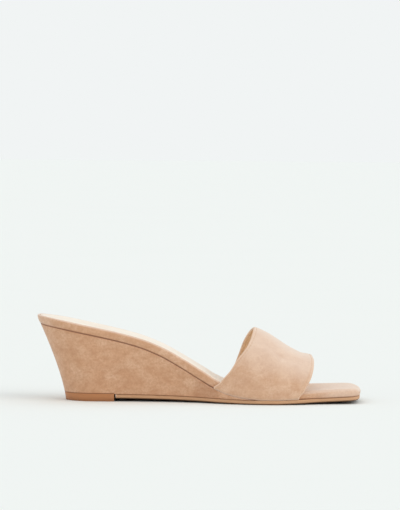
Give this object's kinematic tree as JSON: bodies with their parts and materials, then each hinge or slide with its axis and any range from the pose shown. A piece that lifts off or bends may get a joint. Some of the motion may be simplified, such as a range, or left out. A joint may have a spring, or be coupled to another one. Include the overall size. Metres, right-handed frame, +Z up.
{
  "type": "wedge mule",
  "caption": "Tan suede wedge mule with a square open toe, one broad strap over the forefoot, a pale leather sock and a covered wedge heel.",
  "frame": {"origin": "on the floor, under the middle of the shoe's bounding box", "axes": "+X from the heel to the toe, +Y towards the inner side of the foot, +Z up"},
  "size_m": [0.24, 0.085, 0.0632],
  "materials": {
    "strap_suede": "suede nap, light tan, with a smooth leather lining inside",
    "wrap_suede": "suede nap, tan",
    "sock_leather": "smooth cream leather, soft sheen",
    "wedge_suede": "suede nap, tan",
    "sole_leather": "tan, matt edge",
    "lift_rubber": "orange brown, satin"
  },
  "bodies": {
    "root": {"upper": "strap_suede", "footbed": "wrap_suede", "sock": "sock_leather", "wedge": "wedge_suede", "outsole": "sole_leather", "heel_lift": "lift_rubber"}
  },
  "joints": []
}
